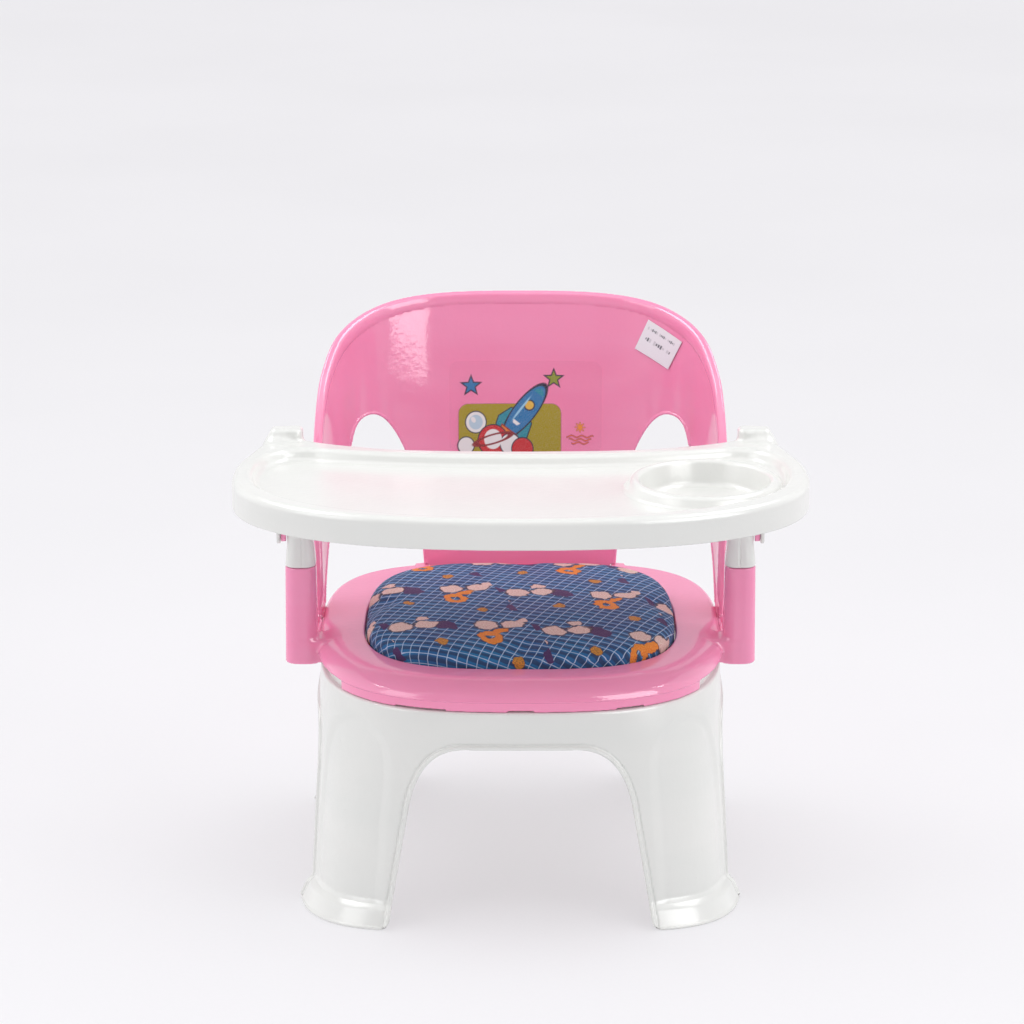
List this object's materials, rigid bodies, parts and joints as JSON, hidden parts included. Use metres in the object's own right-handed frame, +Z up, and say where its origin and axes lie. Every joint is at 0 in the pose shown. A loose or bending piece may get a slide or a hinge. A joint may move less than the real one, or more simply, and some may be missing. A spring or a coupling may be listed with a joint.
{
  "type": "baby high chair",
  "caption": "Low moulded chair for a small child, with a stool base, padded seat, wrap-around backrest and a lift-off tray with a cup holder.",
  "frame": {"origin": "on the floor, under the middle of the whole chair's bounding box", "axes": "+Z up; the chair faces -Y; +X is to the right of someone who looks at the chair's front, the side of the cup holder"},
  "size_m": [0.433, 0.397, 0.4131],
  "materials": {
    "white_plastic": "glossy moulded",
    "pink_plastic": "glossy moulded",
    "printed_fabric": "printed smooth cloth over foam",
    "board_plastic": "matte",
    "bellows_rubber": "soft matte"
  },
  "bodies": {
    "chair": {"stool_base": "white_plastic", "seat_shell": "pink_plastic", "backrest": "pink_plastic", "squeaker": "bellows_rubber"},
    "cushion": {"seat_cushion": "printed_fabric", "cushion_board": "board_plastic"},
    "tray_unit": {"tray": "white_plastic", "tray_post_right": "white_plastic", "tray_post_left": "white_plastic", "lock_clip_right": "pink_plastic", "lock_clip_left": "pink_plastic"}
  },
  "joints": [
    {"name": "tray_lift", "type": "slide", "parent": "chair", "child": "tray_unit", "axis": [0, 0, 1], "range_m": [0, 0.1]},
    {"name": "cushion_press", "type": "slide", "parent": "chair", "child": "cushion", "axis": [0, 0, 1], "range_m": [-0.006, 0], "stiffness_N_per_m": 2500, "springref_m": 0.005, "deforming": ["squeaker"]}
  ]
}
